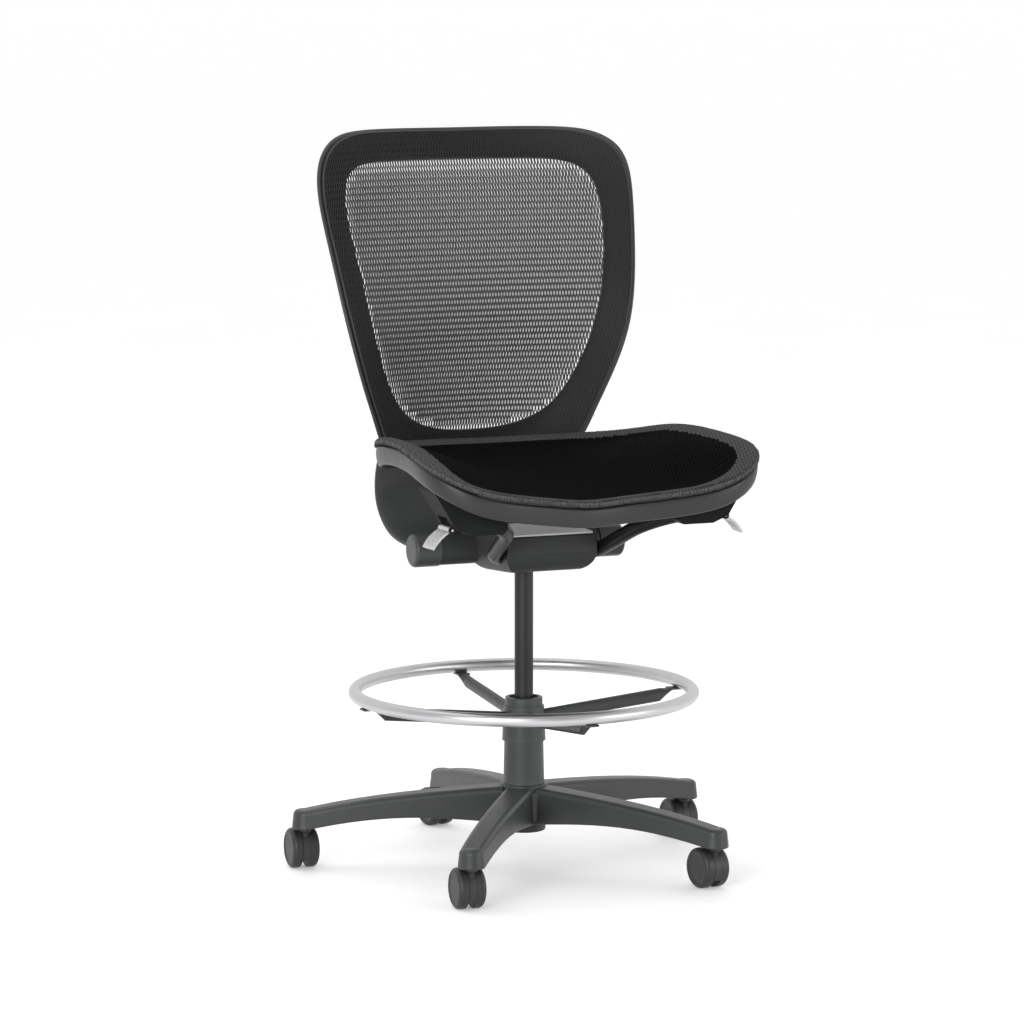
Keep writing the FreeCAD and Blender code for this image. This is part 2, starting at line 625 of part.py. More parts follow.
def back_mesh():
    """Thin panel across the opening, pulled flatter than the frame where it is free."""
    low, high = OPENING_OUTLINE[-1][1], OPENING_OUTLINE[0][1]
    rows = 19
    columns = 17
    grid = []
    for r in range(rows):
        z = low - 12 + (high - low + 24) * r / (rows - 1)
        up = min(1.0, max(0.0, (z - low) / (high - low)))
        half = 205 - 95 * max(0.0, 0.55 - up) / 0.55
        row = []
        for c in range(columns):
            x = -216 + 432 * c / (columns - 1)
            free = max(0.0, 1 - (x / half) ** 2) * (1 - (2 * up - 1) ** 4)
            row.append(Vector(x, back_depth(x, z) + BACK_FRAME_FRONT - BACK_MESH_TENSION * free, z))
        grid.append(row)
    surface = Part.BSplineSurface()
    surface.interpolate(grid)
    slab = surface.toShape().extrude(Vector(0, BACK_MESH_THICKNESS, 0))
    middle = (low + high) / 2
    loop = [Vector(p.x * 0.985, -50, middle + (p.z - middle) * 0.985)
            for p in sampled(outline_loop(OPENING_OUTLINE), 40, True)]
    prism = Part.Face(Part.Wire(smooth(loop, True).toShape())).extrude(Vector(0, 500, 0))
    return slab.common(prism)


# ---------------------------------------------------------------- seat
def seat_loop():
    return smooth(whole_loop([Vector(*p) for p in SEAT_RIM]), True)


def seat_ring(profile):
    """Ring swept round the seat; profile is a loop of (inward, up) pairs."""
    path = seat_loop()
    first = path.FirstParameter
    span = path.LastParameter - first
    sections = []
    for i in range(STATIONS):
        u = first + span * i / STATIONS
        point = path.value(u)
        tangent = path.tangent(u)[0]
        inward = Vector(-tangent.y, tangent.x, 0).normalize()
        sections.append([point + inward * across + Vector(0, 0, up) for across, up in profile])
    return closed_tube(sections)


def seat_frame():
    return seat_ring(SEAT_BAND_SECTION)


def seat_carrier():
    return seat_ring(SEAT_CROWN_SECTION)


def seat_inner_edge(inset, height, count):
    """Points round the inside of the crown, where the mesh leaves it."""
    path = seat_loop()
    first = path.FirstParameter
    span = path.LastParameter - first
    loop = []
    for i in range(count):
        u = first + span * i / count
        tangent = path.tangent(u)[0]
        inward = Vector(-tangent.y, tangent.x, 0).normalize()
        loop.append(path.value(u) + inward * inset + Vector(0, 0, height))
    return loop


def seat_height(x, y, edge):
    """Slung surface: it meets the crown all round and sags in the middle."""
    total = 0.0
    weights = 0.0
    for point in edge:
        weight = 1 / ((point.x - x) ** 2 + (point.y - y) ** 2 + 4) ** 1.5
        total += weight * point.z
        weights += weight
    slack = max(0.0, 1 - (x / 218) ** 2) * max(0.0, 1 - ((y + 72) / 203) ** 2)
    return total / weights - SEAT_SAG * slack


def seat_mesh():
    edge = seat_inner_edge(28, 4, 60)
    grid = []
    for r in range(19):
        y = -300 + 460 * r / 18
        row = []
        for c in range(19):
            x = -240 + 480 * c / 18
            row.append(Vector(x, y, seat_height(x, y, edge)))
        grid.append(row)
    surface = Part.BSplineSurface()
    surface.interpolate(grid)
    slab = surface.toShape().extrude(Vector(0, 0, SEAT_MESH_THICKNESS))
    loop = [Vector(p.x, p.y, 500) for p in seat_inner_edge(31, 0, 40)]
    prism = Part.Face(Part.Wire(smooth(loop, True).toShape())).extrude(Vector(0, 0, 300))
    return slab.common(prism)


def seat_bracket(frame):
    """Right-hand bracket: a wedge that rises outwards to the underside of the rim."""
    block = face_of([Vector(x, BRACKET_FRONT_Y, z) for x, z in BRACKET_PROFILE])
    block = block.extrude(Vector(0, BRACKET_REAR_Y - BRACKET_FRONT_Y, 0))
    corner = [e for e in block.Edges if e.BoundBox.ZMax < 551 and e.BoundBox.YLength > 20]
    block = block.makeFillet(4.0, corner)
    x, y, z = PADDLE_ROOT
    side = PADDLE_HALF_WIDTH + 0.5
    reach = PADDLE_PIN_HALF + 0.5
    hollow = Part.makeBox(60, 2 * side, 40, Vector(x - 7, y - side, z - 22))
    pin = cylinder(PADDLE_PIN_R, Vector(x, y - reach, z), Vector(x, y + reach, z))
    lugs = cylinder(5.0, Vector(x, y - reach, z), Vector(x, y + reach, z))
    arms = Part.makeBox(14, 2 * reach, 9, Vector(x - 14, y - reach, z - 4))
    holder = paddle_place(lugs.fuse(arms))
    bracket = block.fuse(holder).cut([paddle_place(hollow), paddle_place(pin), frame, support_tube()])
    return max(bracket.Solids, key=lambda solid: solid.Volume)


def paddle_place(shape):
    """Turn a piece of the paddle's hinge outwards about the hinge's middle."""
    shape.rotate(Vector(*PADDLE_ROOT), Vector(0, 0, 1), PADDLE_TURN)
    return shape


def support_tube():
    """Right-hand tube: out of the housing's side, then forward and up into the bracket."""
    points = [Vector(*point) for point in SUPPORT_TUBE_POINTS]
    edges = []
    start = points[0]
    for i in (1, 2):
        before = points[i - 1] - points[i]
        after = points[i + 1] - points[i]
        run = min(before.Length, after.Length) * SUPPORT_TUBE_BENDS[i - 1]
        before.normalize()
        after.normalize()
        enter = points[i] + before * run
        leave = points[i] + after * run
        half_turn = before.getAngle(after) / 2
        radius = run * math.tan(half_turn)
        centre = points[i] + (before + after).normalize() * (radius / math.sin(half_turn))
        middle = centre + (points[i] - centre).normalize() * radius
        edges.append(Part.LineSegment(start, enter).toShape())
        edges.append(Part.Arc(enter, middle, leave).toShape())
        start = leave
    edges.append(Part.LineSegment(start, points[3]).toShape())
    path = Part.Wire(edges)
    circle = Part.Wire(Part.makeCircle(SUPPORT_TUBE_R, points[0], points[1] - points[0]))
    return path.makePipeShell([circle], True, True).cut(mechanism_box())


def paddle():
    """Right-hand lever: a curved leaf with five ribs, hung on a small barrel."""
    root = Vector(PADDLE_ROOT[0], 0, PADDLE_ROOT[2])
    tip = Vector(PADDLE_TIP[0], 0, PADDLE_TIP[1])
    along = (tip - root).normalize()
    out = Vector(-along.z, 0, along.x)
    length = (tip - root).Length
    low = PADDLE_ROOT[1] - PADDLE_HALF_WIDTH

    def at(run, rise):
        return root + along * run + out * rise + Vector(0, low, 0)

    outer = Part.Arc(at(2, 1.6), at(length * 0.55, 4.6), at(length, 2.4)).toShape()
    tip_edge = Part.LineSegment(at(length, 2.4), at(length, 0.2)).toShape()
    inner = Part.Arc(at(length, 0.2), at(length * 0.55, 1.9), at(2, -1.6)).toShape()
    root_edge = Part.LineSegment(at(2, -1.6), at(2, 1.6)).toShape()
    leaf = Part.Face(Part.Wire([outer, tip_edge, inner, root_edge]))
    leaf = leaf.extrude(Vector(0, 2 * PADDLE_HALF_WIDTH, 0))
    pitch = 2 * PADDLE_HALF_WIDTH / PADDLE_RIBS
    for i in range(PADDLE_RIBS):
        rib = Part.Face(Part.Wire([
            Part.Arc(at(12, 3.6), at(length * 0.62, 5.5), at(length - 3, 3.4)).toShape(),
            Part.LineSegment(at(length - 3, 3.4), at(length - 3, 1.4)).toShape(),
            Part.LineSegment(at(length - 3, 1.4), at(12, 1.4)).toShape(),
            Part.LineSegment(at(12, 1.4), at(12, 3.6)).toShape()]))
        rib.translate(Vector(0, (i + 0.3) * pitch, 0))
        leaf = leaf.fuse(rib.extrude(Vector(0, 0.4 * pitch, 0)))
    barrel = cylinder(4.4, Vector(root.x, low, root.z), Vector(root.x, low + 2 * PADDLE_HALF_WIDTH, root.z))
    bore = cylinder(PADDLE_PIN_R + RUN_CLEARANCE, Vector(root.x, low - 1, root.z),
                    Vector(root.x, low + 2 * PADDLE_HALF_WIDTH + 1, root.z))
    return paddle_place(leaf.fuse(barrel).cut(bore))


def paddle_pin():
    x, y, z = PADDLE_ROOT
    half = PADDLE_PIN_HALF
    return paddle_place(cylinder(PADDLE_PIN_R, Vector(x, y - half, z), Vector(x, y + half, z)))


def make_all():
    os.makedirs("parts", exist_ok=True)
    write("star_base", star_base())
    write("column_sleeve", column_sleeve())
    write("gas_outer_tube", gas_outer_tube())
    write("gas_guide_bush", gas_guide_bush())
    write("gas_thrust_bearing", gas_thrust_bearing())
    write("gas_rod", gas_rod())
    write("gas_piston", gas_piston())

    write("foot_ring", Part.makeTorus(RING_R, RING_TUBE_R, Vector(0, 0, RING_Z)))
    write("foot_ring_hub", foot_ring_hub())
    spoke = spoke_along_x()
    for name, angle in (("left", 0), ("rear", 90), ("right", 180), ("front", 270)):
        write("foot_ring_spoke_" + name, turned(spoke, angle))

    for number, angle in enumerate(ARM_ANGLES, 1):
        write("caster_%d_hood" % number, caster_place(caster_hood(), angle))
        write("caster_%d_stem" % number, caster_place(caster_stem(), angle))
        write("caster_%d_axle" % number, caster_place(caster_axle(), angle))
        write("caster_%d_wheel_a" % number, caster_place(caster_wheel(-1), angle))
        write("caster_%d_wheel_b" % number, caster_place(caster_wheel(1), angle))

    write("mechanism_housing", mechanism_housing())
    write("mechanism_plate", mechanism_plate())
    write("pivot_shaft", pivot_shaft())
    write("back_support", back_support())
    write("back_frame", back_ring(1.0, 0.0, BACK_FRAME_FRONT + BACK_CARRIER_DEPTH, BACK_FRAME_REAR))
    carrier_rear = BACK_FRAME_FRONT + BACK_CARRIER_DEPTH - BACK_CARRIER_GAP
    write("back_carrier", back_ring(0.99, BACK_EDGE_SHARE, BACK_FRAME_FRONT, carrier_rear))
    write("back_mesh", back_mesh())

    frame = seat_frame()
    write("seat_frame", frame)
    write("seat_carrier", seat_carrier())
    write("seat_mesh", seat_mesh())
    bracket = seat_bracket(frame)
    for name, place in (("left", lambda shape: shape), ("right", mirrored)):
        write("seat_bracket_" + name, place(bracket))
        write("support_tube_" + name, place(support_tube()))
        write("paddle_" + name, place(paddle()))
        write("paddle_pin_" + name, place(paddle_pin()))


make_all()
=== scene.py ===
import math

import bpy
from mathutils import Matrix, Vector
from mathutils.bvhtree import BVHTree


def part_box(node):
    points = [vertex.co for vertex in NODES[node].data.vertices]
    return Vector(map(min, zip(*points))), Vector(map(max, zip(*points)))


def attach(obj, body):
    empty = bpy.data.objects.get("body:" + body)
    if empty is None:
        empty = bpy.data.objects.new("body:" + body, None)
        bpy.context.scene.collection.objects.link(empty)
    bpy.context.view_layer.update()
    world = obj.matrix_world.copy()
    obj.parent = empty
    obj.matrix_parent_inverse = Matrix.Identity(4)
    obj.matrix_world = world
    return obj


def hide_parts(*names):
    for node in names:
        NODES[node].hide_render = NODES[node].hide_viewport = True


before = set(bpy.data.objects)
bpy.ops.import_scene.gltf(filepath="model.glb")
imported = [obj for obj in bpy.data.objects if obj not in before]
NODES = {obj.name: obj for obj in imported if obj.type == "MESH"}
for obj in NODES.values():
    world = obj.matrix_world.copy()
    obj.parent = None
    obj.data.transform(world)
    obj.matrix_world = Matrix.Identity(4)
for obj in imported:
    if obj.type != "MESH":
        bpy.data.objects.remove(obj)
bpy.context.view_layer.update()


def linked(name, data):
    """A new object in the scene."""
    thing = bpy.data.objects.new(name, data)
    bpy.context.scene.collection.objects.link(thing)
    return thing


# ---------------------------------------------------------------- camera
CAMERA_AZIMUTH = math.radians(22.797)
CAMERA_DISTANCE = 7.0
CAMERA_HEIGHT = 1.45344
CAMERA_PITCH = 0.13063
CAMERA_YAW = -0.00252
SENSOR_MM = 36.0
FOCAL_SHARE = 4762.32 / 1024  # focal length over the frame's width
CLIP_NEAR = 0.1
CLIP_FAR = 100.0


def turned(x, y):
    """A direction in the camera's turned plan, brought back to the row frame."""
    c, s = math.cos(CAMERA_AZIMUTH), math.sin(CAMERA_AZIMUTH)
    return x * c + y * s, -x * s + y * c


def make_camera():
    data = bpy.data.cameras.new("camera")
    data.sensor_width = SENSOR_MM
    data.lens = SENSOR_MM * FOCAL_SHARE
    data.clip_start = CLIP_NEAR
    data.clip_end = CLIP_FAR
    camera = linked("camera", data)
    level = math.cos(CAMERA_PITCH)
    ahead = turned(math.sin(CAMERA_YAW) * level, math.cos(CAMERA_YAW) * level)
    forward = Vector((*ahead, -math.sin(CAMERA_PITCH)))
    right = Vector((*turned(math.cos(CAMERA_YAW), -math.sin(CAMERA_YAW)), 0.0))
    up = right.cross(forward)
    place = Vector((*turned(0.0, -CAMERA_DISTANCE), CAMERA_HEIGHT))
    camera.matrix_world = Matrix((
        (right.x, up.x, -forward.x, place.x),
        (right.y, up.y, -forward.y, place.y),
        (right.z, up.z, -forward.z, place.z),
        (0.0, 0.0, 0.0, 1.0)))
    bpy.context.scene.camera = camera


# ---------------------------------------------------------------- light and floor
# The surroundings shine with strength 1, dimmed from below and from the front. Each fade has its
# direction, the cosines to it between which it runs, and the strength at its dim end.
WORLD_FADES = (
    ((0.0, 0.0, 1.0), -0.25, 0.05, 0.05),
    ((*turned(0.0, 1.0), 0.0), -0.7, 0.3, 0.35),
)
FLOOR_GLOW = 0.27
FLOOR_HALF_SIDE = 90.0
FLOOR_ROUGHNESS = 0.6
FLOOR_GREYS = ((0.90,) * 3, (0.92,) * 3)

# Name, place, target, size and power in watts.
AREA_LIGHTS = (
    ("key", (-2.9, -3.0, 1.5), (0, 0, 0.55), (2.2, 1.8), 95.0),
    ("fill", (2.9, -3.2, 1.1), (0, 0, 0.5), (2.4, 1.4), 40.0),
    ("top", (-0.6, 0.2, 3.6), (0, 0, 0.5), (2.0, 2.0), 22.0),
)


def area_light(name, place, target, size, power):
    data = bpy.data.lights.new(name, "AREA")
    data.shape = "RECTANGLE"
    data.size, data.size_y = size
    data.energy = power
    light = linked(name, data)
    light.location = place
    light.rotation_mode = "QUATERNION"
    light.rotation_quaternion = (Vector(target) - Vector(place)).to_track_quat("-Z", "Y")


def make_world():
    world = bpy.data.worlds.new("studio")
    world.use_nodes = True
    tree = world.node_tree
    sky = tree.nodes["Background"]
    sky.inputs["Color"].default_value = (1.0, 1.0, 1.0, 1.0)
    place = tree.nodes.new("ShaderNodeTexCoord").outputs["Generated"]
    both = tree.nodes.new("ShaderNodeMath")
    both.operation = "MULTIPLY"
    for number, (axis, start, end, dim) in enumerate(WORLD_FADES):
        along = tree.nodes.new("ShaderNodeVectorMath")
        along.operation = "DOT_PRODUCT"
        along.inputs[1].default_value = axis
        tree.links.new(place, along.inputs[0])
        fade = tree.nodes.new("ShaderNodeMapRange")
        for key, value in (("From Min", start), ("From Max", end), ("To Min", dim)):
            fade.inputs[key].default_value = value
        tree.links.new(along.outputs["Value"], fade.inputs["Value"])
        tree.links.new(fade.outputs["Result"], both.inputs[number])
    tree.links.new(both.outputs["Value"], sky.inputs["Strength"])
    bpy.context.scene.world = world


def make_stage():
    bpy.context.scene.view_settings.view_transform = "Standard"
    make_world()
    side = FLOOR_HALF_SIDE
    mesh = bpy.data.meshes.new("floor")
    mesh.from_pydata([(-side, -side, 0), (side, -side, 0), (side, side, 0), (-side, side, 0)],
                     [], [(0, 1, 2, 3)])
    floor = linked("floor", mesh)
    build = Nodes("pale_floor")
    shade = build.principled(roughness=FLOOR_ROUGHNESS)
    shade.inputs["Emission Color"].default_value = (1.0, 1.0, 1.0, 1.0)
    shade.inputs["Emission Strength"].default_value = FLOOR_GLOW
    patches = build.noise(build.object_place(), scale=3.0)
    build.link(build.ramp(patches, SOFT_STOPS, FLOOR_GREYS), shade.inputs["Base Color"])
    floor.data.materials.append(build.material)
    floor.visible_diffuse = False
    for light in AREA_LIGHTS:
        area_light(*light)


# ---------------------------------------------------------------- materials
BLACK = (0.0, 0.0, 0.0)
WHITE = (1.0, 1.0, 1.0)
SOFT_STOPS = (0.3, 0.7)
FIBRE_STOPS = (0.25, 0.75)
DASH_STOPS = (0.4, 0.6)
RUBBED_STOPS = (0.52, 0.6)   # pointiness of an unworn and of a fully rubbed edge
UPWARD_STOPS = (0.55, 0.85)  # height of the normal on the crown's side and on its top
RUBBED_LIGHTER = 1.7


class Nodes:
    """A small builder for one procedural material."""

    def __init__(self, name):
        self.material = bpy.data.materials.new(name)
        self.material.use_nodes = True
        self.tree = self.material.node_tree
        self.tree.nodes.clear()

    def add(self, kind, **inputs):
        node = self.tree.nodes.new(kind)
        for key, value in inputs.items():
            node.inputs[key].default_value = value
        return node

    def link(self, source, target):
        self.tree.links.new(source, target)

    def principled(self, roughness=0.5, metallic=0.0, gloss=0.5):
        shade = self.add("ShaderNodeBsdfPrincipled", Roughness=roughness, Metallic=metallic)
        shade.inputs["Specular IOR Level"].default_value = gloss
        out = self.add("ShaderNodeOutputMaterial")
        self.link(shade.outputs["BSDF"], out.inputs["Surface"])
        return shade

    def object_place(self):
        return self.add("ShaderNodeTexCoord").outputs["Object"]

    def scaled(self, source, scale):
        node = self.add("ShaderNodeMapping", Scale=scale)
        self.link(source, node.inputs["Vector"])
        return node.outputs["Vector"]

    def noise(self, place, scale, detail=2.0, roughness=0.5):
        node = self.add("ShaderNodeTexNoise", Scale=scale, Detail=detail, Roughness=roughness)
        self.link(place, node.inputs["Vector"])
        return node.outputs["Fac"]

    def maths(self, operation, *values):
        """A Math node whose inputs are sockets or plain numbers."""
        node = self.tree.nodes.new("ShaderNodeMath")
        node.operation = operation
        for socket, value in zip(node.inputs, values):
            if isinstance(value, float):
                socket.default_value = value
            else:
                self.link(value, socket)
        return node.outputs["Value"]

    def ramp(self, source, stops, colours):
        """Colour ramp over two stops."""
        node = self.tree.nodes.new("ShaderNodeValToRGB")
        for element, place, colour in zip(node.color_ramp.elements, stops, colours):
            element.position = place
            element.color = (*colour, 1.0)
        self.link(source, node.inputs["Fac"])
        return node.outputs["Color"]

    def mixed(self, factor, a, b):
        """Colour from a to b, each of them a socket or a plain colour."""
        node = self.tree.nodes.new("ShaderNodeMix")
        node.data_type = "RGBA"
        self.link(factor, node.inputs["Factor"])
        for key, value in (("A", a), ("B", b)):
            if isinstance(value, tuple):
                node.inputs[key].default_value = (*value, 1.0)
            else:
                self.link(value, node.inputs[key])
        return node.outputs["Result"]

    def spread(self, source, low, high):
        """Maps 0..1 onto low..high."""
        node = self.add("ShaderNodeMapRange")
        node.inputs["To Min"].default_value = low
        node.inputs["To Max"].default_value = high
        self.link(source, node.inputs["Value"])
        return node.outputs["Result"]

    def bump(self, height, shade, distance, strength):
        node = self.add("ShaderNodeBump", Distance=distance, Strength=strength)
        self.link(height, node.inputs["Height"])
        self.link(node.outputs["Normal"], shade.inputs["Normal"])


def shades(colour, spread):
    """A darker and a lighter shade of a colour."""
    return tuple(tuple(c * k for c in colour) for k in (1 - spread, 1 + spread))


def plastic(name, colour, roughness, grain=1400.0, depth=0.00006, wear=0.35, gloss=0.5):
    """Moulded plastic or satin paint: fine grain, slow colour drift, lighter rubbed edges."""
    build = Nodes(name)
    shade = build.principled(gloss=gloss)
    place = build.object_place()
    slow = build.noise(place, scale=9.0, detail=3.0)
    drift = build.ramp(slow, SOFT_STOPS, shades(colour, 0.06))
    edge = build.add("ShaderNodeNewGeometry").outputs["Pointiness"]
    rubbed = build.ramp(edge, RUBBED_STOPS, (BLACK, WHITE))
    bare = tuple(min(1.0, c * RUBBED_LIGHTER) for c in colour)
    worn = build.mixed(build.maths("MULTIPLY", rubbed, wear), drift, bare)
    build.link(worn, shade.inputs["Base Color"])
    fine = build.noise(place, scale=grain, roughness=0.6)
    blotch = build.noise(place, scale=55.0, detail=4.0)
    rough = build.spread(blotch, roughness - 0.05, roughness + 0.07)
    build.link(rough, shade.inputs["Roughness"])
    build.bump(fine, shade, depth, strength=0.6)
    return build.material


def brushed(name, colour, roughness, scale, metallic=1.0, painted_glow=0.0):
    """Metal with streaks: scale is large across the streaks and small along them. painted_glow is
    painted light: the metal glows in its own colour though it is no lamp.
    """
    build = Nodes(name)
    shade = build.principled(metallic=metallic)
    shade.inputs["Emission Color"].default_value = (*colour, 1.0)
    shade.inputs["Emission Strength"].default_value = painted_glow
    lines = build.scaled(build.object_place(), scale)
    streak = build.noise(lines, scale=1.0, detail=4.0, roughness=0.65)
    build.link(build.ramp(streak, SOFT_STOPS, shades(colour, 0.08)), shade.inputs["Base Color"])
    rough = build.spread(streak, roughness - 0.07, roughness + 0.09)
    build.link(rough, shade.inputs["Roughness"])
    build.bump(streak, shade, 0.00003, strength=0.5)
    return build.material


def ring_metal(name, colour, roughness):
    """Tube metal whose polish lines run round the vertical axis."""
    across, along = 2600.0, 9.0
    build = Nodes(name)
    shade = build.principled(metallic=1.0)
    place = build.object_place()
    split = build.add("ShaderNodeSeparateXYZ")
    build.link(place, split.inputs["Vector"])
    x, y, z = (split.outputs[i] for i in range(3))
    squares = build.maths("MULTIPLY", x, x), build.maths("MULTIPLY", y, y)
    radius = build.maths("SQRT", build.maths("ADD", *squares))
    angle = build.maths("ARCTAN2", y, x)
    join = build.add("ShaderNodeCombineXYZ")
    build.link(build.maths("MULTIPLY", radius, across), join.inputs["X"])
    build.link(build.maths("MULTIPLY", angle, along), join.inputs["Y"])
    build.link(build.maths("MULTIPLY", z, across), join.inputs["Z"])
    streak = build.noise(join.outputs["Vector"], scale=1.0, detail=3.0, roughness=0.6)
    build.link(build.ramp(streak, SOFT_STOPS, shades(colour, 0.05)), shade.inputs["Base Color"])
    smear = build.noise(place, scale=24.0, detail=3.0)
    rough = build.spread(smear, roughness - 0.04, roughness + 0.06)
    build.link(rough, shade.inputs["Roughness"])
    build.bump(streak, shade, 0.00002, strength=0.4)
    return build.material


def yarn(name, free, wrapped, roughness, gloss, twist=1500.0):
    """Coated mesh yarn: one colour where it hangs free, another where it wraps the frame."""
    build = Nodes(name)
    shade = build.principled(roughness=roughness, gloss=gloss)
    lines = build.scaled(build.object_place(), (twist, twist, twist * 0.25))
    fibre = build.noise(lines, scale=1.0, roughness=0.7)
    reach = build.add("ShaderNodeAttribute")
    reach.attribute_name = "reach"
    # For the seat's net the free colour is painted shade, so this mask also places painted shade.
    past_opening = build.maths("GREATER_THAN", reach.outputs["Fac"], 0.0)
    tones = [build.ramp(fibre, FIBRE_STOPS, shades(colour, 0.3)) for colour in (free, wrapped)]
    build.link(build.mixed(past_opening, *tones), shade.inputs["Base Color"])
    build.bump(fibre, shade, 0.0002, strength=0.7)
    return build.material


def crown_backing(name, top, side):
    """Carrier under the wrapped mesh: dark where it faces up, grey and dashed on its sides."""
    build = Nodes(name)
    shade = build.principled(roughness=0.7, gloss=0.15)
    coords = build.add("ShaderNodeTexCoord")
    facing = build.add("ShaderNodeSeparateXYZ")
    build.link(coords.outputs["Normal"], facing.inputs["Vector"])
    upward = build.ramp(facing.outputs["Z"], UPWARD_STOPS, (BLACK, WHITE))
    dash = build.noise(build.scaled(coords.outputs["Object"], (430.0, 430.0, 150.0)), scale=1.0)
    dashes = build.ramp(dash, DASH_STOPS, shades(side, 0.35))
    build.link(build.mixed(upward, dashes, top), shade.inputs["Base Color"])
    build.bump(dash, shade, 0.0005, strength=0.8)
    return build.material


GREY = (0.046, 0.050, 0.048)
FILLER_GREY = (0.110, 0.112, 0.112)
# Near-black of the seat's under layer: painted shade seen through the net.
UNDER_PAINTED_SHADE = (0.0025, 0.0025, 0.0025)
PAINT_GRAIN = {"grain": 900.0, "depth": 0.00004}


def make_looks():
    return {
        "paint": plastic("satin_grey_paint", GREY, 0.40, **PAINT_GRAIN),
        "plastic": plastic("moulded_grey_plastic", GREY, 0.46),
        # The casters' grey is the paint's grey darkened as painted shade.
        "caster": plastic("caster_grey_plastic", (0.030, 0.032, 0.031), 0.46, grain=1100.0),
        "carrier": plastic("dark_backing_plastic", (0.012, 0.012, 0.012), 0.6, wear=0.0),
        "crown": crown_backing("seat_crown_backing", (0.014, 0.014, 0.014),
                               (0.085, 0.087, 0.086)),
        # The scoop's grey, about twice the paint's grey, is painted light on its shaded inside
        # under the seat.
        "scoop": plastic("smooth_grey_plastic", (0.096, 0.101, 0.099), 0.34,
                         grain=1700.0, depth=0.00003, gloss=0.25),
        "black": plastic("black_plastic", (0.02, 0.02, 0.02), 0.5),
        # The bracket's near-black is painted shade from the seat above it.
        "bracket": plastic("bracket_dark_plastic", (0.020, 0.021, 0.021), 0.6, gloss=0.08),
        "piston": brushed("dark_burnished_steel", (0.030, 0.031, 0.031), 0.40,
                          (900.0, 900.0, 12.0), metallic=0.6),
        "steel": brushed("bright_brushed_steel", (0.56, 0.56, 0.57), 0.34,
                         (25.0, 1300.0, 1300.0)),
        # The plate's near-white colour and its glow are painted light, standing in for light that
        # does not reach it under the seat.
        "plate": brushed("brushed_plate", (0.88, 0.86, 0.87), 0.5,
                         (30.0, 1500.0, 1500.0), metallic=0.1, painted_glow=0.16),
        "ring": ring_metal("satin_ring", (0.56, 0.56, 0.57), 0.38),
        "paddle": brushed("silver_paddle", (0.62, 0.62, 0.62), 0.36,
                          (300.0, 300.0, 300.0), metallic=0.5),
        "back_yarn": yarn("grey_mesh_yarn", (0.074, 0.075, 0.075), (0.023, 0.0235, 0.0235),
                          0.55, 0.2),
        "strand": yarn("grey_filler_yarn", FILLER_GREY, FILLER_GREY, 0.55, 0.2),
        "under": yarn("black_under_weave", UNDER_PAINTED_SHADE, UNDER_PAINTED_SHADE, 0.9, 0.02, twist=700.0),
        # The seat yarn's near-black where it hangs free is painted shade; where it wraps the crown
        # it shows its grey.
        "seat_yarn": yarn("black_mesh_yarn", (0.0060, 0.0060, 0.0060), (0.076, 0.077, 0.077),
                          0.9, 0.02),
        # The housing's grey paint is darkened as painted shade for its place under the seat.
        "housing": plastic("housing_grey_paint", (0.060, 0.064, 0.062), 0.5,
                           **PAINT_GRAIN, gloss=0.2),
        "sleeve": plastic("sleeve_grey_plastic", (0.060, 0.065, 0.063), 0.42),
        "band": plastic("seat_band_plastic", (0.036, 0.039, 0.037), 0.42, gloss=0.4),
        "tube": plastic("black_tube_paint", (0.014, 0.015, 0.015), 0.36, gloss=0.2),
    }


# The first row whose text a node's name starts with gives its look.
NODE_LOOKS = (
    ("star_base", "paint"), ("column_sleeve", "sleeve"), ("gas_outer_tube", "black"),
    ("gas_guide_bush", "black"), ("gas_thrust_bearing", "steel"), ("gas_rod", "steel"),
    ("gas_piston", "piston"), ("foot_ring_hub", "sleeve"), ("foot_ring_spoke", "paint"),
    ("foot_ring", "ring"), ("caster_", "caster"), ("mechanism_housing", "housing"),
    ("mechanism_plate", "plate"), ("pivot_shaft", "steel"), ("back_support", "scoop"),
    ("back_frame", "plastic"), ("back_carrier", "carrier"), ("back_mesh", "back_yarn"),
    ("seat_frame", "band"), ("seat_carrier", "crown"), ("seat_mesh", "seat_yarn"),
    ("seat_bracket", "bracket"), ("support_tube", "tube"), ("paddle_pin", "steel"),
    ("paddle_", "paddle"),
)


def dress_nodes(looks):
    for name, node in NODES.items():
        key = next(key for start, key in NODE_LOOKS if name.startswith(start))
        if name.endswith(("_stem", "_axle")):
            key = "steel"
        node.data.materials.clear()
        node.data.materials.append(looks[key])


# ---------------------------------------------------------------- the open weave
PITCH = 0.0046             # between holes along a row
ROW = 0.0093               # between rows of holes
ZIG = 0.0029               # how far a cell's middle and side corners are off the row's line
BACK_HOLE = (0.40, 0.80)   # hole over cell: across it, and along it
SEAT_HOLE = (0.27, 0.74)
BACK_YARN = 0.0005         # thickness of the net
SEAT_YARN = 0.0009
NET_LIFT = 0.0006          # the net's middle over the CAD surface
BACK_TRIM = 0.0012         # from the ring's outer edge in to the net's border
SEAT_TRIM = -0.0003
SEAT_DROP = 0.008          # how far the seat's net wraps down the side of its crown
SLIVER = 0.0006            # a cell that reaches inside the border by less is left out
RIM_INSET = 0.0012         # from the ring's outer edge in to where its depth is read
STRETCH_ROUNDS = 14

EDGE_STEPS = 360           # angles in a table of the ring's edge
RADIUS_SMOOTHING = 4
DEPTH_SMOOTHING = 10
SEARCH_RADIUS = 0.36       # well outside both rings
SEARCH_STEP = 0.0015
INTO_RING = 0.008          # from the outer edge to a place surely on the ring
GAP_STEP = 0.001
NO_RADIUS = 1e-6           # keeps the middle of the field from dividing by zero

BEZEL_CORD_RADIUS = 0.0009
BEZEL_CORD_LIFT = 0.0004
BEZEL_CORD_ROUNDNESS = 3

